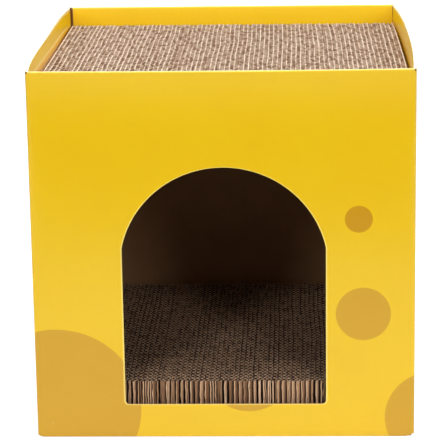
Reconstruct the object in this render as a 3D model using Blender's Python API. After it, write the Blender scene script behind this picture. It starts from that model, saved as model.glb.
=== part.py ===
# Cardboard cat house: a folded box of fine-flute board with an arched doorway, a rolled rim,
# a scratching pad sunk into the roof on an inner shelf, and a second pad as its floor.
# Metres, +Z up. The doorway faces -Y. The origin is at the bottom centre of the whole house,
# counting the side walls' outward bow.

import math

import bmesh
import bpy

MM = 0.001

# The box
WIDTH = 380 * MM                # over the two side walls at their ends
DEPTH = 410 * MM                # over the front and back walls
HEIGHT = 377 * MM               # floor to the top of the rolled rim
BOARD = 1.6 * MM                # fine-flute board of walls and flaps
GAP = 0.3 * MM                  # left between pieces that touch
CORNER_RADIUS = 4 * MM          # pressed-in lower corners of the walls
ROLL_HEIGHT = 26 * MM           # rolled-over board, down from the rim on the inside
LEFT_BOW = 5.5 * MM             # outward bow of the left wall at the rim
LEFT_BOW_POWER = 5              # held nearly straight between its ends
RIGHT_BOW = 7.5 * MM            # outward bow of the right wall at the rim
RIGHT_BOW_POWER = 2             # an even curve

# The doorway
DOOR_WIDTH = 202.4 * MM
DOOR_SILL = 35 * MM             # above the surface the house stands on
DOOR_SPRING = 196 * MM          # where the straight jambs end
DOOR_TOP = 280.3 * MM           # crown of the arch
DOOR_CORNER_RADIUS = 4 * MM     # where jambs meet sill

# Flaps
SHELF_FLAP_LENGTH = 110 * MM    # folded in under the roof pad
FLAP_TAPER = 6 * MM             # each end of a flap is cut back by this at its free edge
END_FLAP_LENGTH = 150 * MM      # front and back bottom flaps
SEAM = 2 * MM                   # between the two side bottom flaps, under the floor
GLUE_FLAP_WIDTH = 30 * MM
GLUE_FLAP_TAPER = 12 * MM       # its top and bottom edges slope by this

# Pads and the boards under them
PAD_HEIGHT = 50 * MM
PAD_PITCH = 4.88 * MM           # one layer of coarse-flute board, laid on edge
PAD_LINER = 1.2 * MM            # two facing papers glued together, frayed by the saw
PAD_CORE_INSET = 4.5 * MM       # the open flutes, drawn as grooves this deep between the papers
PAD_SIDE_CLEARANCE = 0.3 * MM   # least room at each side of a pad
ROOF_PAD_CLEARANCE = 1.5 * MM   # in front of and behind the roof pad
FLOOR_PAD_DEPTH = 347 * MM
FLOOR_PAD_SETBACK = 6 * MM      # behind the inside of the front wall
PAD_RECESS = 20.6 * MM          # roof pad's top below the rim
BACKING = 2.3 * MM              # heavier board
BACKING_CLEARANCE = 0.8 * MM    # around it

# Facets
RIM_STEPS = 6
CORNER_STEPS = 4
BOW_STEPS = 20
ARCH_STEPS = 32

# What follows from them
RIM = 2 * BOARD + GAP
LINING = BOARD + GAP
MITRE_GAP = GAP / math.sqrt(2)
SIDE_FLAP_Z = 0.0
END_FLAP_Z = SIDE_FLAP_Z + BOARD + GAP
FLOOR_BOARD_Z = END_FLAP_Z + BOARD + GAP
FLOOR_PAD_Z = FLOOR_BOARD_Z + BACKING + GAP
ROOF_PAD_Z = HEIGHT - PAD_RECESS - PAD_HEIGHT
ROOF_BOARD_Z = ROOF_PAD_Z - GAP - BACKING
END_SHELF_Z = ROOF_BOARD_Z - GAP - BOARD
SIDE_SHELF_Z = END_SHELF_Z - GAP - BOARD

# Each wall as seen from outside: turn about Z, distance of its face from the centre,
# half its length, and its bow with the power that shapes it
WALLS = {
    "front": (0.0, DEPTH / 2, WIDTH / 2, 0.0, 2),
    "right": (math.pi / 2, WIDTH / 2, DEPTH / 2, RIGHT_BOW, RIGHT_BOW_POWER),
    "back": (math.pi, DEPTH / 2, WIDTH / 2, 0.0, 2),
    "left": (-math.pi / 2, WIDTH / 2, DEPTH / 2, LEFT_BOW, LEFT_BOW_POWER),
}


def clear_scene():
    for obj in list(bpy.data.objects):
        bpy.data.objects.remove(obj, do_unlink=True)


def board_material(name, colour, roughness):
    material = bpy.data.materials.new(name)
    material.use_nodes = True
    shader = material.node_tree.nodes["Principled BSDF"]
    shader.inputs["Base Color"].default_value = (*colour, 1.0)
    shader.inputs["Roughness"].default_value = roughness
    shader.inputs["Metallic"].default_value = 0.0
    material.diffuse_color = (*colour, 1.0)
    return material


def add_piece(name, bm, material, parent):
    bmesh.ops.recalc_face_normals(bm, faces=bm.faces)
    mesh = bpy.data.meshes.new(name)
    bm.to_mesh(mesh)
    bm.free()
    mesh.materials.append(material)
    obj = bpy.data.objects.new(name, mesh)
    bpy.context.scene.collection.objects.link(obj)
    obj.parent = parent
    return obj


def stand_on_side(obj, side):
    """Turn a piece drawn along X, with +Y pointing into the house, to its own wall."""
    turn, distance = WALLS[side][:2]
    obj.rotation_euler.z = turn
    obj.location = (math.sin(turn) * distance, -math.cos(turn) * distance, 0)


def steps(start, end, count):
    return [start + (end - start) * i / count for i in range(count + 1)]


def ring_on(bm, edges, place):
    """Extrude a ring of edges by one length, and put each new corner where place says."""
    grown = bmesh.ops.extrude_edge_only(bm, edges=edges)["geom"]
    corners = {item for item in grown if isinstance(item, bmesh.types.BMVert)}
    for vert in corners:
        vert.co = place(vert.co)
    return [item for item in grown
            if isinstance(item, bmesh.types.BMEdge) and corners.issuperset(item.verts)]


def extrude_section(section, stations):
    """Draw a closed section of (depth, height) points and extrude it along X through stations."""
    bm = bmesh.new()
    edges = bm.faces.new([bm.verts.new((stations[0], *point)) for point in section]).edges[:]
    for x in stations[1:]:
        edges = ring_on(bm, edges, lambda co: (x, co.y, co.z))
    bmesh.ops.contextual_create(bm, geom=edges)
    return bm


def wall_bow(side, along, height):
    """How far a wall stands out of its plane: most at the middle of its rim, nothing at the floor."""
    half, bow, power = WALLS[side][2:]
    return bow * (1 - min(abs(along) / half, 1) ** power) * height / HEIGHT


def wall_stations(side):
    """Where a wall's section is repeated: close together round its two lower corners."""
    half, bow = WALLS[side][2:4]
    round_start = half - CORNER_RADIUS
    angles = steps(0, math.pi / 2, CORNER_STEPS)
    corner = [round_start + CORNER_RADIUS * math.sin(angle) for angle in angles]
    middle = steps(-round_start, round_start, BOW_STEPS if bow else 1)
    return [-x for x in reversed(corner[1:])] + middle + corner[1:]


def corner_lift(along, half):
    """Height of a wall's lower edge, which rounds up at both ends."""
    over = max(abs(along) - (half - CORNER_RADIUS), 0)
    return CORNER_RADIUS - math.sqrt(max(CORNER_RADIUS ** 2 - over ** 2, 0))


def bend_to_wall(bm, side):
    """Mitre a piece's ends at the house's corners, round its lower corners and give it its bow."""
    half = WALLS[side][2]
    for vert in bm.verts:
        along, depth, height = vert.co
        vert.co.x = along * (half - depth - MITRE_GAP) / half
        vert.co.y = depth - wall_bow(side, along, height)
        vert.co.z = max(height, corner_lift(along, half))


def rolled_section():
    """A wall's upright section: up the outside, over the rim and down inside the wall."""
    roll_z = HEIGHT - RIM / 2
    # Rows of corners at the heights where the lining behind the wall starts and ends
    heights = [0.0, SIDE_SHELF_Z, HEIGHT - ROLL_HEIGHT - GAP]
    outside = [(0.0, z) for z in heights]
    inside = [(BOARD, z) for z in reversed(heights)]
    over = [(RIM / 2 - RIM / 2 * math.cos(a), roll_z + RIM / 2 * math.sin(a))
            for a in steps(0, math.pi, RIM_STEPS)]
    under = [(RIM / 2 - GAP / 2 * math.cos(a), roll_z + GAP / 2 * math.sin(a))
             for a in steps(math.pi, 0, RIM_STEPS)]
    roll_end = [(RIM, HEIGHT - ROLL_HEIGHT), (RIM - BOARD, HEIGHT - ROLL_HEIGHT)]
    return outside + over + roll_end + under + inside


def add_wall(side, material, parent):
    bm = extrude_section(rolled_section(), wall_stations(side))
    bend_to_wall(bm, side)
    wall = add_piece(side + "_panel", bm, material, parent)
    stand_on_side(wall, side)
    return wall


def cut_doorway(wall, parent):
    """Cut the arched doorway, a segment of a circle on straight jambs."""
    half = DOOR_WIDTH / 2
    rise = DOOR_TOP - DOOR_SPRING
    radius = (half ** 2 + rise ** 2) / (2 * rise)
    centre_z = DOOR_TOP - radius
    spring_angle = math.asin((DOOR_SPRING - centre_z) / radius)
    arch = [(radius * math.cos(a), centre_z + radius * math.sin(a))
            for a in steps(spring_angle, math.pi - spring_angle, ARCH_STEPS)]
    r = DOOR_CORNER_RADIUS
    left_corner = [(-half + r - r * math.cos(a), DOOR_SILL + r - r * math.sin(a))
                   for a in steps(0, math.pi / 2, CORNER_STEPS)]
    right_corner = [(-x, z) for x, z in reversed(left_corner)]

    bm = bmesh.new()
    outline = arch + left_corner + right_corner
    reach = RIM
    face = bm.faces.new([bm.verts.new((x, -reach, z)) for x, z in outline])
    cap = bmesh.ops.extrude_face_region(bm, geom=[face], use_keep_orig=True)
    for item in cap["geom"]:
        if isinstance(item, bmesh.types.BMVert):
            item.co.y = BOARD + reach
    cutter = add_piece("doorway_cutter", bm, wall.data.materials[0], parent)
    stand_on_side(cutter, "front")
    cutter.hide_render = True
    cutter.display_type = "WIRE"
    doorway = wall.modifiers.new("doorway", "BOOLEAN")
    doorway.operation = "DIFFERENCE"
    doorway.object = cutter


def add_inner_flap(side, crease_z, material, parent):
    """The rest of the rolled-over board, behind the roof pad, down to the shelf crease."""
    top = HEIGHT - ROLL_HEIGHT - GAP
    section = [(LINING, crease_z), (LINING, top), (RIM, top), (RIM, crease_z)]
    bm = extrude_section(section, wall_stations(side))
    bend_to_wall(bm, side)
    flap = add_piece(side + "_inner_flap", bm, material, parent)
    stand_on_side(flap, side)


def add_flap(name, side, start, length, height, material, parent):
    """A level flap, its ends tapered, whose creased edge follows the wall's bow."""
    section = [(start, height), (start, height + BOARD),
               (start + length, height + BOARD), (start + length, height)]
    half = WALLS[side][2]
    bm = extrude_section(section, wall_stations(side))
    for vert in bm.verts:
        along, depth = vert.co[:2]
        reach = (depth - start) / length
        vert.co.x = along * (half - start - MITRE_GAP - FLAP_TAPER * reach) / half
        vert.co.y = depth - wall_bow(side, along, height) * (1 - reach)
    flap = add_piece(name, bm, material, parent)
    stand_on_side(flap, side)


def add_glue_flap(material, parent):
    """The strip that joins the left wall to the back wall, glued inside the back wall."""
    outer = WALLS["back"][2] - LINING
    low, high = FLOOR_BOARD_Z, SIDE_SHELF_Z - GAP
    section = [(LINING, low), (LINING, high), (RIM, high), (RIM, low)]
    bm = extrude_section(section, [outer - GLUE_FLAP_WIDTH, outer])
    for vert in bm.verts:
        if vert.co.x < outer - GLUE_FLAP_WIDTH / 2:
            middle = (low + high) / 2
            vert.co.z += math.copysign(GLUE_FLAP_TAPER, middle - vert.co.z)
    flap = add_piece("glue_flap", bm, material, parent)
    stand_on_side(flap, "back")


def add_backing_board(name, height, material, parent):
    half_width = WIDTH / 2 - RIM - BACKING_CLEARANCE
    half_depth = DEPTH / 2 - RIM - BACKING_CLEARANCE
    section = [(-half_depth, height), (-half_depth, height + BACKING),
               (half_depth, height + BACKING), (half_depth, height)]
    return add_piece(name, extrude_section(section, [-half_width, half_width]), material, parent)


def add_pad(name, front, depth, bottom, material, parent):
    """A block of coarse board laid on edge: facing papers at full size, with grooves between them."""
    room = WIDTH - 2 * (RIM + PAD_SIDE_CLEARANCE)
    layers = int((room - PAD_LINER) / PAD_PITCH)
    middle_y = front + depth / 2
    middle_z = bottom + PAD_HEIGHT / 2

    def at(x, inset):
        """The corners of the block's section at x, drawn in by inset on all four sides."""
        half_depth = depth / 2 - inset
        half_height = PAD_HEIGHT / 2 - inset
        return lambda co: (x, middle_y + math.copysign(half_depth, co[1] - middle_y),
                           middle_z + math.copysign(half_height, co[2] - middle_z))

    bm = bmesh.new()
    x = -(layers * PAD_PITCH + PAD_LINER) / 2
    square = ((-1, -1), (-1, 1), (1, 1), (1, -1))
    first = [bm.verts.new(at(x, 0)((x, middle_y + y, middle_z + z))) for y, z in square]
    edges = bm.faces.new(first).edges[:]
    for layer in range(layers + 1):
        x += PAD_LINER
        edges = ring_on(bm, edges, at(x, 0))
        if layer < layers:
            edges = ring_on(bm, edges, at(x, PAD_CORE_INSET))
            x += PAD_PITCH - PAD_LINER
            edges = ring_on(bm, edges, at(x, PAD_CORE_INSET))
            edges = ring_on(bm, edges, at(x, 0))
    bmesh.ops.contextual_create(bm, geom=edges)
    return add_piece(name, bm, material, parent)


def main():
    clear_scene()
    printed = board_material("printed_board", (0.80, 0.50, 0.02), 0.45)
    kraft = board_material("kraft_board", (0.42, 0.25, 0.12), 0.85)
    pad = board_material("corrugated_pad", (0.48, 0.33, 0.21), 0.90)

    # The two bows differ, so the box stands a little to one side of the house's centre
    house = bpy.data.objects.new("house", None)
    house.location.x = (LEFT_BOW - RIGHT_BOW) / 2
    bpy.context.scene.collection.objects.link(house)

    for side in WALLS:
        wall = add_wall(side, printed, house)
        if side == "front":
            cut_doorway(wall, house)
        is_end = side in ("front", "back")
        shelf_z = END_SHELF_Z if is_end else SIDE_SHELF_Z
        add_inner_flap(side, shelf_z, printed, house)
        add_flap(side + "_shelf_flap", side, RIM + GAP, SHELF_FLAP_LENGTH, shelf_z, printed, house)
        bottom_z = END_FLAP_Z if is_end else SIDE_FLAP_Z
        bottom_length = END_FLAP_LENGTH if is_end else WIDTH / 2 - LINING - SEAM / 2
        add_flap(side + "_bottom_flap", side, LINING, bottom_length, bottom_z, printed, house)
    add_glue_flap(kraft, house)

    add_backing_board("floor_board", FLOOR_BOARD_Z, kraft, house)
    floor_pad_front = -DEPTH / 2 + BOARD + FLOOR_PAD_SETBACK
    add_pad("floor_pad", floor_pad_front, FLOOR_PAD_DEPTH, FLOOR_PAD_Z, pad, house)

    add_backing_board("roof_board", ROOF_BOARD_Z, kraft, house)
    roof_pad_front = -DEPTH / 2 + RIM + ROOF_PAD_CLEARANCE
    roof_pad_depth = DEPTH - 2 * (RIM + ROOF_PAD_CLEARANCE)
    add_pad("roof_pad", roof_pad_front, roof_pad_depth, ROOF_PAD_Z, pad, house)


main()
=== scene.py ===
# Cardboard cat house: printed walls with a rolled rim, an arched doorway and two corrugated pads.
# Metres, +Z up, the doorway looks towards -Y.
import math
import random

import bmesh
import bpy
from mathutils import Matrix, Vector, noise


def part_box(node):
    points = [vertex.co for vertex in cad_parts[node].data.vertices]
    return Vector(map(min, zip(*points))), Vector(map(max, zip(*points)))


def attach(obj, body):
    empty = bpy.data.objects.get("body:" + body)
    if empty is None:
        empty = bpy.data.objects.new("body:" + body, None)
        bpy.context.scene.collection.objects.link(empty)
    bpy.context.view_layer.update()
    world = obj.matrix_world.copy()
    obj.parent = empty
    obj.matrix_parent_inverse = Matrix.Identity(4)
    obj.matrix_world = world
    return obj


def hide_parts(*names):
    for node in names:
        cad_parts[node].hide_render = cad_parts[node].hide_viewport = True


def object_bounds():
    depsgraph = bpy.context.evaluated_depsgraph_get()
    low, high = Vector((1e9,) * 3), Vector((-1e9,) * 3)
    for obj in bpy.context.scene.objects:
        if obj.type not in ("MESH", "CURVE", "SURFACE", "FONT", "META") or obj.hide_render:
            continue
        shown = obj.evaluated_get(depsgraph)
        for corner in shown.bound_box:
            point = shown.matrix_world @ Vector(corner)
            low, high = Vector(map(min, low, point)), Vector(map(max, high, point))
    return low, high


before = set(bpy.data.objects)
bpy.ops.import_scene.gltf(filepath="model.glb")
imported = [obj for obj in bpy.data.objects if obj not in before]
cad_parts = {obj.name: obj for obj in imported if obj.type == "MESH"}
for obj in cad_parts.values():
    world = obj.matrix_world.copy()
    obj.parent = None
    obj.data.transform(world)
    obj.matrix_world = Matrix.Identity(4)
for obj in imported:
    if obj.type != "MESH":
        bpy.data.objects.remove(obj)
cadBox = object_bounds()
mm = 0.001
hair = 0.01 * mm                                  # for telling points apart
near = 0.2 * mm                                   # and for telling faces apart
white = (1.0, 1.0, 1.0, 1.0)

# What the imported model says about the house
frontLow, frontHigh = (Vector(corner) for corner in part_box("front_panel"))
backHigh = Vector(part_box("back_panel")[1])
seam = 0.2 * mm                                   # the solids stop this far short of each corner
house = {
    "centreX": (frontLow.x + frontHigh.x) / 2,
    "halfWidth": (frontHigh.x - frontLow.x) / 2 + seam,
    "halfDepth": (backHigh.y - frontLow.y) / 2,
    "height": frontHigh.z,
    "board": 1.6 * mm,
    "gap": 0.3 * mm,
    "fluteLength": 3.3 * mm,
    "rollHeight": 26 * mm,                        # rolled-over board, down from the rim
    "leftBow": frontLow.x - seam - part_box("left_panel")[0][0],
    "rightBow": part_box("right_panel")[1][0] - frontHigh.x - seam,
    "rightBowShare": 0.9,                         # of the solid's bow, to follow the photo's rim
}
house["rim"] = 2 * house["board"] + house["gap"]  # thickness over the roll
house["rollZ"] = house["height"] - house["rim"] / 2
house["frontY"] = house["board"] / 2 - house["halfDepth"]        # middle of the front wall's board
print("house", {key: round(value, 4) for key, value in house.items()})


# Shader sums written as Python sums
class Wire:
    def __init__(self, shading, socket):
        self.shading = shading
        self.socket = socket

    def sum(self, operation, first, second):
        return self.shading.node("ShaderNodeMath", {"operation": operation}, {0: first, 1: second})

    def __add__(self, other):
        return self.sum("ADD", self, other)

    __radd__ = __add__

    def __mul__(self, other):
        return self.sum("MULTIPLY", self, other)

    __rmul__ = __mul__

    def __sub__(self, other):
        return self.sum("SUBTRACT", self, other)

    def __rsub__(self, other):
        return self.sum("SUBTRACT", other, self)

    def __truediv__(self, other):
        return self.sum("DIVIDE", self, other)

    def __pow__(self, other):
        return self.sum("POWER", self, other)


# The nodes of a material or of the world
class Shading:
    def __init__(self, owner):
        owner.use_nodes = True
        self.tree = owner.node_tree

    def feed(self, socket, value):
        if isinstance(value, Wire):
            self.tree.links.new(value.socket, socket)
        else:
            socket.default_value = value

    def node(self, kind, settings=None, values=None, output=0):
        made = self.tree.nodes.new(kind)
        for key, value in (settings or {}).items():
            setattr(made, key, value)
        for key, value in (values or {}).items():
            self.feed(made.inputs[key], value)
        return Wire(self, made.outputs[output])

    # Another look for each named kind of ray, over the plain one
    def byRay(self, plain, looks):
        for kind, look in looks.items():
            ray = self.node("ShaderNodeLightPath", output="Is " + kind + " Ray")
            plain = self.node("ShaderNodeMixShader", values={0: ray, 1: plain, 2: look})
        return plain


class Finish(Shading):
    def __init__(self, name, roughness):
        self.material = bpy.data.materials.new(name)
        super().__init__(self.material)
        self.shader = self.tree.nodes["Principled BSDF"]
        self.shader.inputs["Roughness"].default_value = roughness

    # Position in metres: the object's own, or along the unfolded sheet
    def place(self, uvMap=None):
        if uvMap:
            return self.node("ShaderNodeUVMap", {"uv_map": uvMap})
        return self.node("ShaderNodeTexCoord", output="Object")

    def axes(self, vector):
        parts = self.node("ShaderNodeSeparateXYZ", values={0: vector})
        return [Wire(self, socket) for socket in parts.socket.node.outputs]

    def stretch(self, vector, scale):
        return self.node("ShaderNodeVectorMath", {"operation": "MULTIPLY"}, {0: vector, 1: scale})

    # Noise about 0.5
    def cloud(self, vector, scale, detail=3.0, roughness=0.55):
        return self.node("ShaderNodeTexNoise", values={
            "Vector": vector, "Scale": scale, "Detail": detail, "Roughness": roughness})

    # 0 below low, 1 above high, eased between; low may be the higher
    def step(self, value, low, high):
        return self.node("ShaderNodeMapRange", {"interpolation_type": "SMOOTHSTEP"},
                         {"Value": value, "From Min": low, "From Max": high})

    def mix(self, factor, first, second, blend="MIX"):
        return self.node("ShaderNodeMix", {"data_type": "RGBA", "blend_type": blend},
                         {0: factor, 6: first, 7: second}, output=2)

    def wave(self, value, length):
        return self.node("ShaderNodeMath", {"operation": "SINE"}, {0: value * (2 * math.pi / length)})

    def size(self, value):
        return self.node("ShaderNodeMath", {"operation": "ABSOLUTE"}, {0: value})

    def larger(self, first, second):
        return self.node("ShaderNodeMath", {"operation": "MAXIMUM"}, {0: first, 1: second})

    def bump(self, height, distance):
        return self.node("ShaderNodeBump", values={"Height": height, "Distance": distance})

    def finish(self, colour, roughness=None, normal=None):
        self.feed(self.shader.inputs["Base Color"], colour)
        if roughness is not None:
            self.feed(self.shader.inputs["Roughness"], roughness)
        if normal is not None:
            self.feed(self.shader.inputs["Normal"], normal)
        return self.material


# A picture colour, 0 to 255, as the linear colour that a shader takes
def tone(red, green, blue):
    def linear(value):
        share = value / 255
        return share / 12.92 if share <= 0.04045 else ((share + 0.055) / 1.055) ** 2.4
    return (linear(red), linear(green), linear(blue), 1.0)


# The doorway in the front wall
doorway = {
    "centreX": house["centreX"] + 0.8 * mm,
    "width": 202.4 * mm,
    "sill": 35 * mm,
    "spring": 198.5 * mm,
    "top": 280.3 * mm,
    "cornerRadius": 4 * mm,
    "cornerSteps": 6,
    "arcSteps": 64,
    "cutterReach": 5 * mm,         # past the wall, on both sides
    "lip": 0.28 * mm,              # the two facing papers
    "groove": 0.7 * mm,            # the flutes stand this far back from them
    "fluteSteps": 8,
    "flutePaper": 0.2 * mm,
    "fluteReach": (0.1 * mm, 1.5 * mm),     # from and to, into the board
    "fluteEnd": 0.5 * mm,                   # the arch's flutes end this far from the jambs
}
doorway["half"] = doorway["width"] / 2
doorway["rise"] = doorway["top"] - doorway["spring"]
doorway["radius"] = (doorway["width"] ** 2 / 4 + doorway["rise"] ** 2) / (2 * doorway["rise"])
doorway["centreZ"] = doorway["top"] - doorway["radius"]

# Finishes
kraft = {
    "face": tone(186, 143, 100),
    "dark": tone(150, 108, 70),
    "fleck": tone(96, 66, 42),
    "corner": tone(122, 70, 16),            # painted shade and yellow bounce light between the rolls at the rim's corners
    "cornerShadeFade": (27 * mm, 30 * mm),       # and fading out this far below the rim
    "relief": 0.03 * mm,
    "cutRelief": 0.1 * mm,
}


# Brown paper: cloudy, with long pale and dark fibres and a few flecks
def kraftColour(paper, place):
    cloudy = paper.cloud(place, 38.0, 4.0)
    fibres = paper.cloud(paper.stretch(place, (1.0, 1.0, 0.14)), 1500.0, 2.0)
    base = paper.mix(cloudy * 0.5 + fibres * 0.45, kraft["dark"], kraft["face"])
    flecks = paper.step(paper.cloud(place, 900.0, 1.0), 0.70, 0.78)
    return paper.mix(flecks * 0.5, base, kraft["fleck"]), fibres


def kraftFinish():
    paper = Finish("kraftBoard", 0.82)
    place = paper.place()
    colour, fibres = kraftColour(paper, place)
    x, y, z = paper.axes(place)
    # Painted shade: near the rim the brown board turns a dark warm brown, for the shaded gaps between
    # the rolls
    fadeStart, fadeEnd = kraft["cornerShadeFade"]
    cornerShadeMask = paper.step(z, house["height"] - fadeEnd, house["height"] - fadeStart)
    colour = paper.mix(cornerShadeMask, colour, kraft["corner"])
    ribs = paper.wave(x + y, house["fluteLength"])
    normal = paper.bump(ribs * 0.5 + fibres, kraft["relief"])
    return paper.finish(colour, 0.78 + fibres * 0.12, normal)


# A sawn board edge: painted shade in the hollows between the flutes, and pale paper either side
def cutFinish():
    paper = Finish("cutBoard", 0.9)
    place = paper.place()
    colour, fibres = kraftColour(paper, place)
    x, y, z = paper.axes(place)
    # Painted shade where the hollows between the flutes would be
    hollowShade = paper.step(paper.wave(x + y, house["fluteLength"]), -0.2, 0.6)
    colour = paper.mix(hollowShade * 0.55, colour, kraft["fleck"])
    return paper.finish(colour, None, paper.bump(fibres, kraft["cutRelief"]))


printed = {
    "yellow": tone(243, 199, 12),
    "shade": tone(240, 190, 8),
    "paleWearAndHighlight": tone(255, 238, 186),
    # Pale yellow: painted highlight on the left roll's ridge; at the doorway pale cut paper and painted
    # highlight
    "edge": tone(255, 234, 130),
    # Painted shade below the side rolls' ridge, and painted shadow on the left roll beside the pad
    "deep": tone(236, 164, 0),
    "padShadow": tone(142, 84, 0),
    "dot": tone(214, 163, 22),
    "smallDot": tone(209, 152, 8),
    "roughness": 0.22,
    "gloss": 0.75,
    "relief": 0.12 * mm,
    # Round dots on the unfolded walls, from the front's centre line and the floor: across, up, radius
    "dots": [(-168.2 * mm, 30.4 * mm, 84.0 * mm), (138.6 * mm, 129.6 * mm, 27.3 * mm),
             (207.6 * mm, 21.0 * mm, 47.5 * mm), (24.3 * mm, 71.6 * mm, 44.4 * mm)],
    "small": (134.1 * mm, 227.3 * mm, 13.7 * mm),
    "dotEdge": 0.25 * mm,
    "blend": 1 * mm,                        # the front and the sides fade into each other this far
    # Pale lines, full and none this far from the line: worn print, and painted highlight on the rims and
    # at the doorway
    "rimWearAndHighlight": (0.7 * mm, 2.2 * mm),
    "foldWear": (0.2 * mm, 1.6 * mm),
    "doorwayPaleLine": (0.5 * mm, 1.4 * mm),
    # On a side rim the pale line, mostly painted highlight, is wider and lies further out, and at its
    # back further in again
    "sideRimHighlight": {"out": 0.9 * mm, "wider": 1.2 * mm},
    "sideRimBackHighlight": {"in": 1.9 * mm, "wider": 0.5 * mm, "from": 60 * mm, "to": 300 * mm},
    # Down the sheet from a side roll's ridge: where the painted shade, shadow and highlight start and
    # where they are full
    "deepFrom": (-0.4 * mm, 0.2 * mm),
    "padShadowFrom": (2 * mm, 7 * mm),
    "ridgeHighlightStart": (-1 * mm, 0.0),
    "ridgeHighlightEnd": (2.4 * mm, 0.6 * mm),
    "crushedFrom": (4 * mm, 3 * mm),        # crushed flutes, full: from a roll's end and from its top
}


def dotMask(paper, u, v, dot):
    across, up, radius = dot
    reach = ((u - across) ** 2.0 + (v - up) ** 2.0) ** 0.5
    return paper.step(reach, radius + printed["dotEdge"], radius - printed["dotEdge"])


def paleBand(paper, away, wear):
    full, none = printed[wear]
    return paper.step(away, none, full)


# Yellow printed board: half gloss, faint upright flutes, paler where it is folded, in part a painted
# highlight
def printedFinish():
    paper = Finish("printedBoard", printed["roughness"])
    paper.shader.inputs["Specular IOR Level"].default_value = printed["gloss"]
    place = paper.place("unfold")
    u, v, w = paper.axes(place)
    cloudy = paper.cloud(place, 9.0, 3.0)
    colour = paper.mix(paper.step(cloudy, 0.35, 0.7) * 0.35, printed["yellow"], printed["shade"])
    for dot in printed["dots"]:
        colour = paper.mix(dotMask(paper, u, v, dot), colour, printed["dot"])
    colour = paper.mix(dotMask(paper, u, v, printed["small"]), colour, printed["smallDot"])

    # Which wall, and how far to the back
    halfWidth, halfDepth, blend = house["halfWidth"], house["halfDepth"], printed["blend"]
    sideRimHighlight, rimBack = printed["sideRimHighlight"], printed["sideRimBackHighlight"]
    across = paper.size(u)
    beside = paper.size(across - (halfWidth + halfDepth))
    onSide = paper.step(beside, halfDepth + blend, halfDepth - blend)
    onLeft = onSide * paper.step(u, blend, -blend)
    onFront = paper.step(across, halfWidth + blend, halfWidth - blend)
    towardsBack = onSide * paper.step(across - halfWidth, rimBack["from"], rimBack["to"])

    # Rubbed-off print on the roll's top, on the side rims mostly painted highlight; cracked down the
    # folds
    rollTop = alongSheet(house["rim"] / 2, house["height"])
    fromTop = paper.size(v - rollTop + onSide * sideRimHighlight["out"] - towardsBack * rimBack["in"])
    fromTop = fromTop - onSide * sideRimHighlight["wider"] - towardsBack * rimBack["wider"]
    speckle = paper.cloud(place, 420.0, 3.0, 0.7)
    # Worn print along the rim, and on the side rims mostly a painted highlight
    wearAndHighlight = onSide * 0.3 + towardsBack * 0.2 + speckle * (onSide * 0.4 + onFront * 0.26 + 0.12)
    colour = paper.mix(paleBand(paper, fromTop, "rimWearAndHighlight") * wearAndHighlight, colour, printed["paleWearAndHighlight"])
    atFold = paleBand(paper, paper.size(across - halfWidth), "foldWear")
    cracked = paper.step(speckle, 0.46, 0.62)
    colour = paper.mix(atFold * cracked * 0.5, colour, printed["paleWearAndHighlight"])

    # Along the doorway's edge a pale line: pale paper where it was cut, and a painted highlight
    fromMiddle = u - (doorway["centreX"] - house["centreX"])
    overArch = (fromMiddle ** 2.0 + (v - doorway["centreZ"]) ** 2.0) ** 0.5 - doorway["radius"]
    overArch = overArch * paper.step(v, doorway["spring"] - blend, doorway["spring"] + blend)
    corner = doorway["cornerRadius"]
    aside = paper.larger(paper.size(fromMiddle) - (doorway["half"] - corner), 0.0)
    below = paper.larger(doorway["sill"] + corner - v, 0.0)
    beyond = paper.larger((aside ** 2.0 + below ** 2.0) ** 0.5 - corner, overArch)
    cutPaleAndHighlight = paleBand(paper, beyond, "doorwayPaleLine") * onFront
    colour = paper.mix(cutPaleAndHighlight * 0.7, colour, printed["edge"])

    # Scuffs: short rubbed streaks
    streaks = paper.cloud(paper.stretch(place, (1.0, 0.25, 1.0)), 160.0, 5.0, 0.65)
    scuffed = paper.step(paper.cloud(place, 14.0, 2.0), 0.56, 0.72)
    rubbed = paper.step(streaks, 0.62, 0.74) * scuffed
    colour = paper.mix(rubbed * 0.16, colour, printed["paleWearAndHighlight"])

    # Below its ridge a side roll is painted a deeper tone, as painted shade. The left one has a painted
    # highlight on the ridge, and a painted shadow beside the pad.
    down = v - alongSheet(house["rim"], house["height"] - rolls["ridgeRow"])
    shadeBelowRidgeMask = paper.step(down, *printed["deepFrom"])
    colour = paper.mix(shadeBelowRidgeMask * (onSide * 0.55 + onLeft * 0.15), colour, printed["deep"])
    padShadow = paper.step(down, *printed["padShadowFrom"])
    colour = paper.mix(padShadow * onLeft * 0.75, colour, printed["padShadow"])
    ridgeHighlight = paper.step(down, *printed["ridgeHighlightStart"]) * paper.step(down, *printed["ridgeHighlightEnd"])
    colour = paper.mix(ridgeHighlight * onLeft * 0.6, colour, printed["edge"])

    # The flutes show through faintly, and more on the side rolls, where folding crushed them
    fromEnd, belowTop = printed["crushedFrom"]
    crushed = paper.step(beside, halfDepth, halfDepth - fromEnd)
    crushed = crushed * paper.step(v, rollTop, rollTop + belowTop)
    ribs = paper.wave(u, house["fluteLength"])
    uneven = paper.cloud(paper.stretch(place, (1.0, 0.12, 1.0)), 60.0, 3.0)
    pressed = paper.cloud(place, 16.0, 2.0)
    grain = paper.cloud(place, 1800.0, 2.0)
    height = ribs * (pressed * 0.1 + crushed * 0.45) + uneven * 1.1 + pressed * 1.6 + grain * 0.05
    normal = paper.bump(height, printed["relief"])
    roughness = printed["roughness"] + (speckle - 0.5) * 0.06 + rubbed * 0.2
    return paper.finish(colour, roughness, normal)


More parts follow.
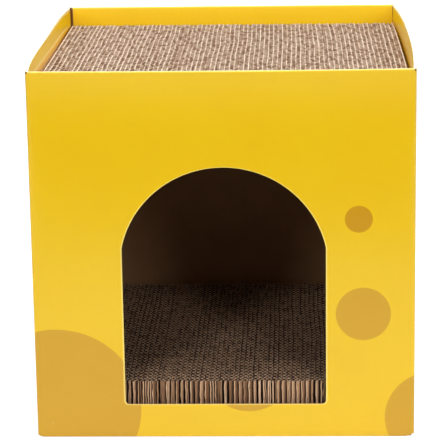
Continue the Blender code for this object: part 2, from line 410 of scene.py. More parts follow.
# A flap of the same board: printed on the side that faces along printedSide, brown on the other
def flapFinish(name, printedSide):
    paper = Finish(name, 0.6)
    place = paper.place()
    colour, fibres = kraftColour(paper, place)
    normal = paper.node("ShaderNodeNewGeometry", output="Normal")
    facing = paper.node("ShaderNodeVectorMath", {"operation": "DOT_PRODUCT"},
                        {0: normal, 1: printedSide}, output="Value")
    onPrint = paper.step(facing, 0.4, 0.6)
    inkTone = paper.mix(paper.cloud(place, 9.0) * 0.4, printed["yellow"], printed["shade"])
    return paper.finish(paper.mix(onPrint, colour, inkTone), 0.8 - onPrint * 0.45,
                        paper.bump(fibres, kraft["relief"]))


padPaper = {
    "pale": tone(222, 194, 168),
    "mid": tone(202, 171, 144),
    "brown": tone(158, 124, 96),
    "fleck": tone(98, 66, 42),
    "torn": tone(232, 210, 188),
    "front": tone(128, 94, 66),
    "frontDepth": 2.5 * mm,        # the sawn front's tones are full to here, and gone twice as far in
    "frontStrip": 0.61,            # width of each tone on the sawn front, in layers
    "outerPaperHighlight": (1.6 * mm, 2.2 * mm),     # the outermost paper on the left is painted pale as a highlight, up to here
    "relief": 0.08 * mm,
}


# A chance number, 0 to 1, for each strip of this width
def chance(paper, away, width):
    strip = paper.node("ShaderNodeMath", {"operation": "FLOOR"}, {0: away / width})
    return paper.node("ShaderNodeTexWhiteNoise", {"noise_dimensions": "1D"}, {"W": strip})


# Unbleached paper, each layer a little different: torn and pale where sawn, partly painted highlight;
# painted shade inside
def padFinish(name, low, high, pitch, spec, pale):
    paper = Finish(name, 0.9)
    place = paper.place()
    x, y, z = paper.axes(place)
    cloudy = paper.cloud(place, 30.0, 4.0)
    fibres = paper.cloud(paper.stretch(place, (1.0, 1.0, 0.2)), 1400.0, 3.0)
    paleness = chance(paper, x - low.x, pitch) * spec["varied"] + cloudy * (1 - spec["varied"])
    base = paper.mix(paleness, padPaper["mid"], padPaper["pale"])
    base = paper.mix(fibres * 0.5, base, padPaper["brown"])
    flecks = paper.step(paper.cloud(place, 800.0, 1.0), 0.68, 0.76)
    base = paper.mix(flecks * 0.6, base, padPaper["fleck"])
    torn = paper.step(paper.cloud(place, 600.0, 4.0, 0.7), 0.50, 0.66)
    sawnTop = paper.step(high.z - z, spec["sawnDepth"] * 1.6, spec["sawnDepth"] * 0.6)
    sawnFront = paper.step(y - low.y, padPaper["frontDepth"] * 2, padPaper["frontDepth"])
    sawn = paper.larger(sawnTop, sawnFront)
    # Painted shade: the paper below the sawn top is multiplied darker by the pad's inside tone
    inside = paper.mix(1.0, base, spec["inside"], "MULTIPLY")
    patchy = paper.step(paper.cloud(paper.stretch(place, (1.0, 0.4, 1.0)), 210.0, 2.0), 0.34, 0.6)
    # Pale sawn tops: torn paper, and partly a painted highlight
    base = paper.mix(sawnTop * (0.05 + torn * 0.35 + patchy * 0.6) * pale, base, padPaper["torn"])
    # Painted highlight: the outermost paper on the left is pale
    outerStart, outerEnd = padPaper["outerPaperHighlight"]
    base = paper.mix(paper.step(x - low.x, outerEnd, outerStart) * 0.7, base, padPaper["torn"])
    strip = chance(paper, x - low.x, padPaper["frontStrip"] * pitch)
    base = paper.mix(sawnFront * paper.step(strip, 0.6, 1.0) * 0.7, base, padPaper["torn"])
    base = paper.mix(sawnFront * paper.step(strip, 0.5, 0.1) * 0.8, base, padPaper["front"])
    # The painted shade goes on below the sawn band; over all goes the pad's tint, a painted shade on the
    # floor pad
    base = paper.mix(1.0, paper.mix(sawn, inside, base), spec["shadeTint"], "MULTIPLY")
    return paper.finish(base, None, paper.bump(fibres + torn * 0.5, padPaper["relief"]))


# Making pieces
smoothUnder = 35                                  # degrees: a sharper fold shows as an edge


def addPiece(name, bm, materials, smoothAngle=smoothUnder):
    mesh = bpy.data.meshes.new(name)
    bm.to_mesh(mesh)
    bm.free()
    for material in materials:
        mesh.materials.append(material)
    mesh.shade_smooth()
    mesh.set_sharp_from_angle(angle=math.radians(smoothAngle))
    piece = bpy.data.objects.new(name, mesh)
    bpy.context.scene.collection.objects.link(piece)
    return piece


# Faces with their edges and corners, each once, as the extruding operators need them
def withEdges(faces):
    parts = list(faces)
    for face in faces:
        parts += [*face.edges, *face.verts]
    return list(dict.fromkeys(parts))


def facesOf(geometry):
    return [item for item in geometry if isinstance(item, bmesh.types.BMFace)]


def extrude(bm, faces, move):
    grown = bmesh.ops.extrude_face_region(bm, geom=withEdges(faces))["geom"]
    moved = [item for item in grown if isinstance(item, bmesh.types.BMVert)]
    bmesh.ops.translate(bm, verts=moved, vec=move)
    return facesOf(grown)


def ease(value):
    value = min(max(value, 0.0), 1.0)
    return value * value * (3 - 2 * value)


def between(start, end, share):
    return start + (end - start) * share


# The four walls. Each is drawn flat along X with its outside at y = 0, then bent and stood in place.
# bow: how far the rim's middle stands out. power: how flat the bow is, in the front and the back half.
walls = {
    "front": {"turn": 0, "bow": 0.0, "power": (2, 2), "columns": 40},
    "right": {"turn": 90, "bow": house["rightBow"] * house["rightBowShare"], "power": (2, 3),
              "columns": 44},
    "back": {"turn": 180, "bow": 0.0, "power": (2, 2), "columns": 40},
    "left": {"turn": -90, "bow": house["leftBow"], "power": (4, 4), "columns": 44},
}
halves = (house["halfWidth"], house["halfDepth"])
for spec in walls.values():
    spec["half"], spec["away"] = halves if spec["turn"] in (0, 180) else halves[::-1]
    spec["unfold"] = spec["turn"] / 90 * sum(halves)         # its middle, along the unfolded sheet

walling = {
    "foldRadius": 2.0 * mm,        # outside of the upright corner folds
    "foldSteps": 4,
    "lowerCorner": (10.0 * mm, 3.9 * mm),  # pressed-in lower corners: along the wall and up
    "leftCorner": (4.6 * mm, 3.3 * mm),    # and the front one on the left
    "lowerFold": 0.6 * mm,         # rounding of the fold to the bottom flaps
    "lowerFoldSteps": 3,
    "levels": (6 * mm, 60 * mm, 180 * mm, 300 * mm),
    "rimSteps": 10,
    "rollEndGap": 0.35 * mm,       # between two rolls at a corner
    "backRollGap": 3.2 * mm,       # the back roll stops short of the left one
    "edgeBand": 12 * mm,           # the board gives a little beside each upright fold
    "edgeSteps": 4,
    "edgeDip": 0.6 * mm,
    "rimSag": 0.75 * mm,           # front rim, at its middle
    "columnTop": 2.4 * mm,         # corner folds end this far below the rim
    "flare": 1.3 * mm,             # the side walls stand this much wider at the floor
    "splay": 2.0 * mm,             # the left wall's back corner leans out this far at the rim
    "splayFrom": 60 * mm,          # it starts this far left of the middle
    "splayOver": 120 * mm,
}

# The side rolls don't hang straight: they lean in towards the pad and are buckled along a ridge.
# Depths are below the rim. Lean is a share of the wall's bow at that place.
rolls = {
    "ridgeRow": 14 * mm,           # the ridge, and the pad's top, on the flat sheet
    "padRow": 21 * mm,
    "rowStep": 0.4 * mm,           # close rows either side of them
    "ridgePower": 1.8,             # how the ridge's depth changes from front to back
    "left": {"ridgeFront": 11 * mm, "ridgeBack": 20.8 * mm, "ridgeLean": 0.46, "bottomLean": 0.95},
    "right": {"ridgeFront": 16 * mm, "ridgeBack": 16 * mm, "ridgeLean": 0.28, "bottomLean": 0.36},
}

# Which of the boards' finishes a face takes
boardSlot = {"printed": 0, "brown": 1, "cut": 2}


# Positions along a wall: the corner folds' arcs, close steps beside them, then even steps
def wallColumns(half, columns):
    core = half - walling["foldRadius"]
    arc = walling["foldRadius"] * math.pi / 4
    fold = [core + arc * i / walling["foldSteps"] for i in range(walling["foldSteps"], 0, -1)]
    band, steps = walling["edgeBand"], walling["edgeSteps"]
    beside = [core - band * i / steps for i in range(steps)]
    inner = core - band
    middle = [between(-inner, inner, i / columns) for i in range(columns + 1)]
    outer = fold + beside
    return [-x for x in outer] + middle + outer[::-1]


# Distance up the unfolded sheet, over the rim and down the roll
def alongSheet(depth, height):
    rollZ, radius = house["rollZ"], house["rim"] / 2
    if height > rollZ:
        return rollZ + radius * math.atan2(height - rollZ, radius - depth)
    if depth > house["board"] + house["gap"] / 2:
        return rollZ + radius * math.pi + rollZ - height
    return height


# A straight wall, its rolled rim and its roll, with the unfolded sheet as its UV map
def drawWall(side):
    spec = walls[side]
    columns = wallColumns(spec["half"], spec["columns"])
    core = spec["half"] - walling["foldRadius"]
    bm = bmesh.new()
    count = len(columns) - 1
    bmesh.ops.create_grid(bm, x_segments=count, y_segments=1, size=0.5)
    for vert in bm.verts:
        x = columns[round((vert.co.x + 0.5) * count)]
        vert.co = (x, house["board"] if vert.co.y > 0 else 0.0, 0.0)
    faces = bm.faces[:]
    level = 0.0
    for height in (*walling["levels"], house["rollZ"]):
        faces = extrude(bm, faces, (0, 0, height - level))
        level = height
    tops = [face for face in faces if abs(face.calc_center_median().x) < core]
    corners = [face for face in faces if face not in tops]
    spun = bmesh.ops.spin(bm, geom=withEdges(tops), cent=(0, house["rim"] / 2, house["rollZ"]),
                          axis=(1, 0, 0), angle=-math.pi, steps=walling["rimSteps"], dvec=(0, 0, 0))
    roll = facesOf(spun["geom_last"])
    ridge, pad, step = rolls["ridgeRow"], rolls["padRow"], rolls["rowStep"]
    for depth in (ridge - step, ridge, ridge + step, pad - step, pad + step, house["rollHeight"]):
        roll = extrude(bm, roll, (0, 0, house["height"] - depth - roll[0].calc_center_median().z))
    lift = house["rim"] / 2 - walling["columnTop"]
    for vert in {vert for face in corners for vert in face.verts if abs(vert.co.x) > core + hair}:
        vert.co.z += lift

    unfold = bm.loops.layers.uv.new("unfold")
    for face in bm.faces:
        for loop in face.loops:
            x, depth, height = loop.vert.co
            inside = abs(x) > core and height > house["rollZ"]
            loop[unfold].uv = (x + spec["unfold"], height if inside else alongSheet(depth, height))
        middle = face.calc_center_median()
        fromRim = math.hypot(middle.y - house["rim"] / 2, max(middle.z - house["rollZ"], 0.0))
        outside = fromRim > house["rim"] / 2 - near
        rawEnd = abs(face.normal.x) > 0.7 or (face.normal.z < -0.7 and middle.y > house["board"])
        face.material_index = boardSlot["cut" if rawEnd else "printed" if outside else "brown"]

    lowerEdges = [edge for edge in bm.edges
                  if all(vert.co.z < near and vert.co.y < near for vert in edge.verts)]
    bmesh.ops.bevel(bm, geom=lowerEdges, offset=walling["lowerFold"], offset_type="OFFSET",
                    segments=walling["lowerFoldSteps"], profile=0.5, affect="EDGES", material=-1)
    return bm


# A side roll's own depth and lean at a depth on the flat sheet; share runs from the front to the back
def hangRoll(side, share, below):
    spec = rolls[side]
    row, end = rolls["ridgeRow"], house["rollHeight"]
    ridge = between(spec["ridgeFront"], spec["ridgeBack"], share ** rolls["ridgePower"])
    if below < row:
        part = below / row
        return ridge * part, spec["ridgeLean"] * part
    depth = between(ridge, end, (below - row) / (end - row))
    part = min((below - row) / (rolls["padRow"] - row), 1.0)
    return depth, between(spec["ridgeLean"], spec["bottomLean"], part)


# Corner folds, the rolls' mitred ends, the pressed-in lower corners and the bow
def bendWall(bm, side):
    spec = walls[side]
    half, radius, board = spec["half"], walling["foldRadius"], house["board"]
    core = half - radius
    for vert in bm.verts:
        x, depth, height = vert.co
        sign = math.copysign(1.0, x)
        onRoll = height > house["rollZ"] + hair and abs(x) <= core + hair
        onRoll = onRoll or depth > board + house["gap"] / 2
        turn = max(abs(x) - core, 0.0) / radius
        if onRoll:
            short = walling["rollEndGap"]
            if side == "back" and x > 0 and depth > board:
                short = walling["backRollGap"]
            reach = min(core, half - depth) - short
            nx, ny = x * reach / core, depth
        else:
            nx = sign * (min(abs(x), core) + (radius - depth) * math.sin(turn))
            ny = radius - (radius - depth) * math.cos(turn)
        nearEdge = max(abs(nx) - (half - walling["edgeBand"]), 0.0) / walling["edgeBand"]
        dip = walling["edgeDip"] * min(nearEdge, 1.0) ** 2
        ny += dip
        nx -= sign * dip * turn / (math.pi / 4)
        power = spec["power"][1 if (nx > 0) == (side == "right") else 0]
        bowed = spec["bow"] * (1 - min(abs(nx) / half, 1.0) ** power) * height / house["height"]
        if side in rolls and depth > board + house["gap"] / 2 and height < house["rollZ"] - near:
            share = 0.5 + nx / (2 * half) * (1 if side == "right" else -1)
            below, lean = hangRoll(side, share, house["height"] - height)
            height = house["height"] - below
            bowed *= 1 - lean
        onLeft = (side, nx > 0) in (("front", False), ("left", True))
        reach, rise = walling["leftCorner" if onLeft else "lowerCorner"]
        pressed = min(max(abs(nx) - half + reach, 0.0) / reach, 1.0)
        height = max(height, rise * pressed ** 1.5)
        if side == "front" and height > house["height"] * 0.5:
            height -= walling["rimSag"] * (1 - (nx / half) ** 2) * ease(height / house["height"] * 2 - 1)
        vert.co = (nx, ny - bowed, height)
    middle = Matrix.Translation((house["centreX"], 0, 0))
    turned = Matrix.Rotation(math.radians(spec["turn"]), 4, "Z")
    outwards = Matrix.Translation((0, -spec["away"], 0))
    bmesh.ops.transform(bm, matrix=middle @ turned @ outwards, verts=bm.verts)
    for vert in bm.verts:
        up = vert.co.z / house["height"]
        vert.co.x += (vert.co.x - house["centreX"]) * walling["flare"] / house["halfWidth"] * (1 - up)
        toLeft = ease((house["centreX"] - walling["splayFrom"] - vert.co.x) / walling["splayOver"])
        vert.co.x -= walling["splay"] * toLeft * ease(vert.co.y / house["halfDepth"]) * up ** 2
        vert.co.x = max(vert.co.x, cadBox[0][0])             # no further out than the solids
    bmesh.ops.recalc_face_normals(bm, faces=bm.faces)


# The doorway's outline, drawn as one arc on straight jambs, pushed through the wall
def doorwayCutter():
    bm = bmesh.new()
    half, radius, corner = doorway["half"], doorway["radius"], doorway["cornerRadius"]
    springAngle = math.asin((doorway["spring"] - doorway["centreZ"]) / radius)
    reach = doorway["cutterReach"]
    y = -house["halfDepth"] - reach
    spring = bm.verts.new((half, y, doorway["spring"]))
    bmesh.ops.spin(bm, geom=[spring], cent=(0, y, doorway["centreZ"]), axis=(0, 1, 0),
                   angle=-(math.pi - 2 * springAngle), steps=doorway["arcSteps"], dvec=(0, 0, 0))
    for start, centre in (((-half, doorway["sill"] + corner), corner - half),
                          ((half - corner, doorway["sill"]), half - corner)):
        low = bm.verts.new((start[0], y, start[1]))
        bmesh.ops.spin(bm, geom=[low], cent=(centre, y, doorway["sill"] + corner), axis=(0, 1, 0),
                       angle=-math.pi / 2, steps=doorway["cornerSteps"], dvec=(0, 0, 0))
    bm.verts.ensure_lookup_table()
    ends = [vert for vert in bm.verts if len(vert.link_edges) == 1]
    for first in ends:
        for other in ends:
            inLine = abs(other.co.x - first.co.x) < hair or abs(other.co.z - first.co.z) < hair
            if other is not first and inLine and not bm.edges.get((first, other)):
                bm.edges.new((first, other))
    bmesh.ops.contextual_create(bm, geom=bm.edges[:])
    extrude(bm, bm.faces[:], (0, 2 * reach + house["board"], 0))
    bmesh.ops.translate(bm, verts=bm.verts, vec=(doorway["centreX"], 0, 0))
    bmesh.ops.recalc_face_normals(bm, faces=bm.faces)
    for face in bm.faces:
        face.material_index = boardSlot["cut"]
    return bm


def cutDoorway(wall, materials):
    cutter = addPiece("doorwayCutter", doorwayCutter(), materials)
    cut = wall.modifiers.new("doorway", "BOOLEAN")
    cut.operation = "DIFFERENCE"
    cut.object = cutter
    shaped = bpy.data.meshes.new_from_object(wall.evaluated_get(bpy.context.evaluated_depsgraph_get()))
    wall.modifiers.clear()
    wall.data = shaped
    bpy.data.objects.remove(cutter, do_unlink=True)

    # Between the two facing papers the cut edge is hollow
    bm = bmesh.new()
    bm.from_mesh(shaped)
    edge = [face for face in bm.faces if face.material_index == boardSlot["cut"]
            and abs(face.calc_center_median().x - doorway["centreX"]) < doorway["half"] + near
            and abs(face.calc_center_median().y - house["frontY"]) < near and abs(face.normal.y) < 0.3]
    rims = bmesh.ops.inset_region(bm, faces=edge, thickness=doorway["lip"], depth=-doorway["groove"],
                                  use_even_offset=True, use_boundary=True)["faces"]
    for face in rims:
        face.material_index = boardSlot["brown"]
    bm.to_mesh(shaped)
    bm.free()
    shaped.set_sharp_from_angle(angle=math.radians(smoothUnder))
    print("doorway edge faces", len(edge), len(rims))


# The wavy core that shows in the sawn edge of the arch and of the sill
def doorwayFlutes(materials):
    bm = bmesh.new()
    half, length = doorway["half"], house["fluteLength"]
    count = int(2 * half / length) * doorway["fluteSteps"]
    swing = house["board"] / 2 - doorway["lip"] - doorway["flutePaper"] / 2
    for edge in ("arch", "sill"):
        span = half - doorway["fluteEnd" if edge == "arch" else "cornerRadius"]
        made = bmesh.ops.create_grid(bm, x_segments=count, y_segments=1, size=1.0)["verts"]
        for vert in made:
            x = vert.co.x * span
            out = doorway["fluteReach"][0 if vert.co.y < 0 else 1]
            if edge == "arch":
                angle = math.acos(max(min(x / doorway["radius"], 1), -1))
                z = doorway["centreZ"] + doorway["radius"] * math.sin(angle)
                place = Vector((x + out * math.cos(angle), 0, z + out * math.sin(angle)))
            else:
                place = Vector((x, 0, doorway["sill"] - out))
            place.y = swing * math.sin(2 * math.pi * x / length)
            vert.co = place
    bmesh.ops.solidify(bm, geom=bm.faces[:], thickness=doorway["flutePaper"])
    bmesh.ops.translate(bm, verts=bm.verts, vec=(doorway["centreX"], house["frontY"], 0))
    bmesh.ops.recalc_face_normals(bm, faces=bm.faces)
    return addPiece("doorwayFlutes", bm, materials)


# The two scratching pads
padding = {
    "pitch": 4.88 * mm,
    "liner": 1.25 * mm,            # two facing papers glued together, frayed by the saw
    "flute": 0.5 * mm,             # paper of the flutes
    "waveLength": 8.95 * mm,
    "waveSteps": 8,
    "linerStep": 5 * mm,
    "wander": 0.55 * mm,           # how far the layers stray from straight
    "wiggle": 0.35 * mm,           # and how far in shorter waves
    "heldEdge": 1 / 25,            # share of the width in which they get back to straight
    "bulge": 1.5 * mm,             # how far the right edge stands out, halfway back
    "bulgePower": (2, 6),          # how flat it is, in the front and the back half
    "endShort": 0.9 * mm,          # the papers' ends fall up to this far short
    "fluteShort": (0.1 * mm, 1.2 * mm),     # and the flutes' back ends between these
    "biting": (2.2, 0.15),         # how sharp the pressed-down places are, and how wide
    "phaseStray": 0.05,            # in wave lengths
    "fluteLow": 0.1 * mm,          # flutes stand below the facing papers
    "frayDepth": 4 * mm,           # the front ends are frayed this far in
    "frayRows": 16,
    "frayBite": 2.2 * mm,
    "frayLean": 0.8 * mm,
    "closeDepth": 6 * mm,          # a flute's front end is squashed to one side this far in
    "closings": (-0.9, -0.75, -0.9, -0.5, -0.8, 0.1, 0.8),   # and how far to that side
}
# How quickly each unevenness changes, in two directions, per metre
ripples = {
    "wander": (22, 9),
    "wiggle": (60, 32),
    "sawn": (350, 90),
    "bites": (260, 75),
    "fray": (500, 160),
    "tufts": (90, 500),
    "lean": (700, 130),
}


# Smooth chance, -1 to 1
def ripple(kind, first, second, seed):
    quick, slow = ripples[kind]
    return noise.noise(Vector((first * quick, second * slow, seed)))


# ragged: how unevenly the tops were sawn. bites: how far they are pressed down here and there.
# paperBites: the same for the facing papers. They stand paperLow below the solid's top, and up to
# uneven lower still. setBack: how far back the flutes' front ends stand, in mm.
# steps: a layer's waves against its neighbour's, in wave lengths.
# pale: how far the sawn tops are made pale, papers and flutes, partly torn paper and partly painted
# highlight; sawnDepth how deep.
# inside: the painted shade that darkens the paper below. tint: over all of it, a painted shade on the
# floor pad. varied: layers' tones against clouds.
# crest: how narrow the waves' crests are on one side; 1 gives an even wave.
pads = {
    "roof_pad": {"name": "roofPad", "seed": 11, "frayed": False, "ragged": 0.45 * mm,
                 "pale": (1.0, 0.9), "sawnDepth": 0.7 * mm, "inside": tone(200, 184, 170), "crest": 1.3,
                 "shadeTint": tone(255, 255, 255), "varied": 0.6,
                 "bites": 0.9 * mm, "paperBites": 0.62 * mm, "paperLow": 0.04 * mm, "uneven": 0.3 * mm,
                 "steps": (0.04, 0.08, -0.06, 0.5, 0.5, 0.12, 0.3), "setBack": (0.2, 0.6, 1.1)},
    "floor_pad": {"name": "floorPad", "seed": 29, "frayed": True, "ragged": 0.15 * mm,
                  "pale": (0.3, 1.0), "sawnDepth": 0.4 * mm, "inside": tone(72, 56, 44), "crest": 2.8,
                  "shadeTint": tone(255, 240, 222), "varied": 0.12,
                  "bites": 0.15 * mm, "paperBites": 0.1 * mm, "paperLow": 0.4 * mm, "uneven": 0.08 * mm,
                  "steps": (0.08, 0.1, 0.12, 0.16, 0.05, 0.14, 0.02, 0.5),
                  "setBack": (0.2, 0.3, 0.4, 0.6)},
}


# How far a layer strays sideways: neighbours stray alike, and the right edge stands out a little
def drift(low, high, x, y, seed):
    across = (x - low.x) / (high.x - low.x)
    along = (y - low.y) / (high.y - low.y) * 2 - 1
    edges = min(1.0, min(across, 1 - across) / padding["heldEdge"])
    stray = ripple("wander", x, y, seed) * 2 * padding["wander"] * edges
    stray += ripple("wiggle", x, y, seed + 0.5) * 2 * padding["wiggle"] * edges
    power = padding["bulgePower"][1 if along > 0 else 0]
    return stray + padding["bulge"] * across ** 3 * (1 - abs(along) ** power)


# A pad's lowest and highest corners, its number of layers and their true pitch
def padLayers(node):
    low, high = (Vector(corner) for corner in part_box(node))
    width = high.x - low.x - padding["liner"]
    layers = round(width / padding["pitch"])
    return low, high, layers, width / layers


# One upright sheet from front to back, cut unevenly along its top and frayed at its front end
def addSheet(bm, low, high, count, shifts, spec, shape, bites):
    seed, frayed = spec["seed"], spec["frayed"]
    start = len(bm.verts)
    bmesh.ops.create_grid(bm, x_segments=count, y_segments=1, size=1.0)
    front, back = low.y + shifts[0], high.y - shifts[1]
    columns = math.ceil(padding["frayDepth"] / (back - front) * count) if frayed else 0
    sharp, wide = padding["biting"]
    bm.verts.ensure_lookup_table()
    if columns:
        reach = -1 + 2 * columns / count + 0.0001
        upright = {edge for vert in bm.verts[start:] for edge in vert.link_edges
                   if abs(edge.verts[0].co.x - edge.verts[1].co.x) < 1e-6 and edge.verts[0].co.x < reach}
        bmesh.ops.subdivide_edges(bm, edges=sorted(upright, key=lambda edge: edge.verts[0].co.x),
                                  cuts=padding["frayRows"], use_grid_fill=True)
        bm.verts.ensure_lookup_table()
    for vert in bm.verts[start:]:
        along, up = (vert.co.x + 1) / 2, (vert.co.y + 1) / 2
        y = between(front, back, along)
        z = between(low.z, high.z, up)
        x, top = shape(y)
        if up > 0.999:
            z = top - abs(ripple("sawn", x, y, seed)) * 2 * spec["ragged"]
            z -= ease(ripple("bites", x, y, seed + 1) * sharp + wide) * bites
        fray = max(0.0, 1 - along * (back - front) / padding["frayDepth"]) if frayed else 0.0
        if fray:
            bite = ripple("fray", x, z, seed + 3) + ripple("tufts", x, z, seed)
            y += max(0.0, bite) * padding["frayBite"] * fray
            x += ripple("lean", x, z, seed + 9) * padding["frayLean"] * fray
        vert.co = (x + drift(low, high, x, y, seed), y, z)


def thicken(bm, thickness):
    bm.normal_update()
    bmesh.ops.solidify(bm, geom=bm.faces[:], thickness=thickness)
    bmesh.ops.recalc_face_normals(bm, faces=bm.faces)


# The pad's facing papers: thin upright sheets from front to back
def padPapers(name, node, material, spec):
    low, high, layers, pitch = padLayers(node)
    draw = random.Random(spec["seed"])
    bm = bmesh.new()
    count = round((high.y - low.y) / padding["linerStep"])
    for layer in range(layers + 1):
        x = low.x + layer * pitch
        shifts = (draw.uniform(0, 1) * padding["endShort"], draw.uniform(0, 1) * padding["endShort"])
        top = high.z - draw.uniform(0, 1) * spec["uneven"] - spec["paperLow"]
        bites = spec["paperBites"] if 0 < layer < layers else 0.0
        addSheet(bm, low, high, count, shifts, spec, lambda y: (x, top), bites)
    thicken(bm, -padding["liner"])
    return addPiece(name, bm, [material], smoothAngle=30)


# The wavy papers between them, one ribbon a layer, nearly in step with their neighbours
def padFlutes(name, node, material, spec, part, parts):
    low, high, layers, pitch = padLayers(node)
    draw = random.Random(spec["seed"])
    phases = []
    phase = draw.uniform(0, 1)
    for layer in range(layers):
        phase += draw.choice(spec["steps"]) + draw.uniform(-padding["phaseStray"], padding["phaseStray"])
        phases.append(phase)
    swing = (pitch - padding["liner"] - padding["flute"]) / 2
    bm = bmesh.new()
    count = round((high.y - low.y) / padding["waveLength"]) * padding["waveSteps"]
    for layer in range(layers * part // parts, layers * (part + 1) // parts):
        middle = low.x + padding["liner"] + layer * pitch + (pitch - padding["liner"]) / 2
        shifts = (draw.choice(spec["setBack"]) * mm, draw.uniform(*padding["fluteShort"]))
        closing = draw.choice(padding["closings"])
        top = high.z - padding["fluteLow"]

        def wave(y):
            turn = 2 * math.pi * ((y - low.y) / padding["waveLength"] + phases[layer])
            side = 1 - 2 * (0.5 + 0.5 * math.cos(turn)) ** spec["crest"]
            if spec["frayed"]:
                side = between(closing, side, ease((y - low.y) / padding["closeDepth"]))
            return middle + swing * side, top

        addSheet(bm, low, high, count, shifts, spec, wave, spec["bites"])
    thicken(bm, padding["flute"])
    return addPiece(name, bm, [material], smoothAngle=60)


# Build
printedBoard = printedFinish()
kraftBoard = kraftFinish()
cutBoard = cutFinish()
boards = [printedBoard, kraftBoard, cutBoard]

for side in walls:
    bm = drawWall(side)
    bendWall(bm, side)
    wall = addPiece(side + "Wall", bm, boards)
    if side == "front":
        cutDoorway(wall, boards)
    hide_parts(side + "_panel")
    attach(wall, "box")
    print(side, "wall", len(wall.data.polygons), "faces")

flutes = doorwayFlutes([cutBoard])
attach(flutes, "box")
print("doorway flutes", len(flutes.data.polygons))

for node, spec in pads.items():
    name = spec["name"]
    low, high, layers, pitch = padLayers(node)
    paper = padFinish(name + "Paper", low, high, pitch, spec, spec["pale"][0])
    wavyPaper = padFinish(name + "WavyPaper", low, high, pitch, spec, spec["pale"][1])
    pieces = [padPapers(name + "Papers", node, paper, spec)]
    pieces += [padFlutes(name + "Flutes" + half, node, wavyPaper, spec, part, 2)
               for part, half in enumerate(("Left", "Right"))]
    for piece in pieces:
        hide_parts(node)
        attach(piece, node)
        print(piece.name, len(piece.data.polygons), "faces")

# The hidden flaps and boards keep their solids and get a finish
flapUp = flapFinish("shelfFlapBoard", (0, 0, 1))
flapDown = flapFinish("bottomFlapBoard", (0, 0, -1))
inwards = {"front": (0, 1, 0), "back": (0, -1, 0), "left": (1, 0, 0), "right": (-1, 0, 0)}
for side, inward in inwards.items():
    dressing = {"_shelf_flap": flapUp, "_bottom_flap": flapDown,
                "_inner_flap": flapFinish(side + "LiningBoard", inward)}
    for part, material in dressing.items():
        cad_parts[side + part].material_slots[0].material = material
for node in ("glue_flap", "floor_board", "roof_board"):
    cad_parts[node].material_slots[0].material = kraftBoard
print("flaps and boards finished")

# Floor, light and camera
studio = {
    "floorSize": 12.0,
    "whiteRadius": 0.94,           # the white table ends this far from the house's middle
    "whiteEdge": 0.05,
    "floorTone": 0.72,
    "beyondTone": 0.04,
    "mirrored": 0.98,              # how bright the floor is in a reflection, against its own tone
    "darkSpread": 0.45,            # dark sector ahead in a reflection: half its width to its length
    "darkFade": 0.25,              # and it grows dark over this far
    "glow": 0.88,                  # seen straight on, the floor glows this bright
    "litTone": 0.45,               # and takes the lamps' light on this grey, so that the shadow shows
    "drop": 0.6 * mm,              # floor below the house
    "ambient": 0.18,
}


def grey(level):
    return (level, level, level, 1.0)


def floorFinish():
    paper = Finish("studioFloor", 0.9)
    x, y, z = paper.axes(paper.place())
    reach = (x ** 2.0 + y ** 2.0) ** 0.5
    beyond = paper.step(reach, studio["whiteRadius"] - studio["whiteEdge"],
                        studio["whiteRadius"] + studio["whiteEdge"])
    ahead = paper.step(paper.size(x) + y * studio["darkSpread"], 0.0, -studio["darkFade"])
    near, far = grey(studio["floorTone"]), grey(studio["beyondTone"])
    paper.feed(paper.shader.inputs["Base Color"], paper.mix(beyond, near, far))
    paper.shader.inputs["Specular IOR Level"].default_value = 0.0

    # The camera sees the floor white but for the house's shadow. A reflection shows its own tone, and
    # the dark beyond it ahead of the house.
    lit = paper.node("ShaderNodeBsdfDiffuse", values={"Color": grey(studio["litTone"])})
    glow = paper.node("ShaderNodeEmission", values={"Color": white, "Strength": studio["glow"]})
    seen = paper.node("ShaderNodeAddShader", values={0: lit, 1: glow})
    mirrored = paper.node("ShaderNodeEmission", values={"Color": paper.mix(beyond * ahead, near, far),
                                                        "Strength": studio["mirrored"]})
    plain = Wire(paper, paper.shader.outputs[0])
    surface = paper.byRay(plain, {"Camera": seen, "Glossy": mirrored, "Transmission": glow})
    paper.feed(paper.tree.nodes["Material Output"].inputs["Surface"], surface)
    return paper.material


def addFloor():
    bm = bmesh.new()
    bmesh.ops.create_grid(bm, x_segments=1, y_segments=1, size=studio["floorSize"] / 2)
    bmesh.ops.translate(bm, verts=bm.verts, vec=(0, 0, -studio["drop"]))
    floor = addPiece("studioFloor", bm, [floorFinish()])


def addWorld():
    world = bpy.data.worlds.new("studio")
    bpy.context.scene.world = world
    sky = Shading(world)
    ambient = sky.tree.nodes["Background"]
    sky.feed(ambient.inputs["Color"], white)
    sky.feed(ambient.inputs["Strength"], studio["ambient"])
    backdrop = sky.node("ShaderNodeBackground", values={"Color": white})
    surface = sky.byRay(Wire(sky, ambient.outputs[0]),
                        {"Camera": backdrop, "Glossy": backdrop, "Transmission": backdrop})
    sky.feed(sky.tree.nodes["World Output"].inputs["Surface"], surface)


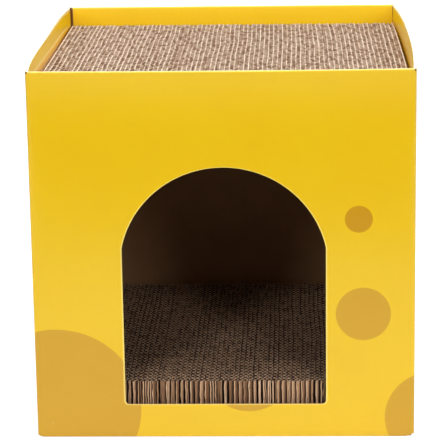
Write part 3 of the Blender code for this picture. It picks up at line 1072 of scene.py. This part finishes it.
# Softboxes: bearing from straight in front, rise above level, distance, size, watts
lamps = {
    "softboxLeft": {"bearing": -27, "rise": 21.5, "far": 4.0, "size": (0.8, 1.5), "power": 42.5},
    "softboxRight": {"bearing": 27, "rise": 20.5, "far": 4.0, "size": (0.8, 1.5), "power": 38.5},
    "softboxTop": {"bearing": 0, "rise": 82, "far": 2.2, "size": (1.8, 1.4), "power": 41},
    "fillLeft": {"bearing": -80, "rise": 30, "far": 3.0, "size": (2.0, 1.6), "power": 16},
    "fillRight": {"bearing": 80, "rise": 30, "far": 3.0, "size": (2.0, 1.6), "power": 26},
    "fillBack": {"bearing": 180, "rise": 20, "far": 3.0, "size": (2.0, 1.6), "power": 34},
}


def addLamps():
    middle = Vector((0, 0, house["height"] / 2))
    for name, spec in lamps.items():
        lamp = bpy.data.lights.new(name, "AREA")
        lamp.shape = "RECTANGLE"
        lamp.size, lamp.size_y = spec["size"]
        lamp.energy = spec["power"]
        bearing, rise = math.radians(spec["bearing"]), math.radians(spec["rise"])
        level = math.cos(rise)
        towards = Vector((math.sin(bearing) * level, -math.cos(bearing) * level, math.sin(rise)))
        holder = bpy.data.objects.new(name, lamp)
        holder.location = middle + towards * spec["far"]
        holder.rotation_euler = towards.to_track_quat("Z", "Y").to_euler()
        bpy.context.scene.collection.objects.link(holder)


# The camera, worked out from the photo's corners of the box: place, turn left, tilt down, roll
view = {
    "place": (69.4 * mm + house["centreX"], -1915.4 * mm - house["halfDepth"], 732.7 * mm),
    "turn": 2.141,
    "tilt": 14.773,
    "roll": -0.869,
    "lens": 164.52,
    "sensor": 36.0,
}


def addCamera():
    camera = bpy.data.cameras.new("camera")
    camera.lens = view["lens"]
    camera.sensor_width = view["sensor"]
    camera.sensor_fit = "HORIZONTAL"
    camera.clip_start = 0.05
    holder = bpy.data.objects.new("camera", camera)
    turned = (Matrix.Rotation(math.radians(view["turn"]), 4, "Z")
              @ Matrix.Rotation(math.radians(90 - view["tilt"]), 4, "X")
              @ Matrix.Rotation(math.radians(view["roll"]), 4, "Z"))
    holder.matrix_world = Matrix.Translation(view["place"]) @ turned
    bpy.context.scene.collection.objects.link(holder)
    bpy.context.scene.camera = holder


addFloor()
addWorld()
addLamps()
addCamera()
bpy.context.scene.view_settings.view_transform = "Standard"
print("studio ready")
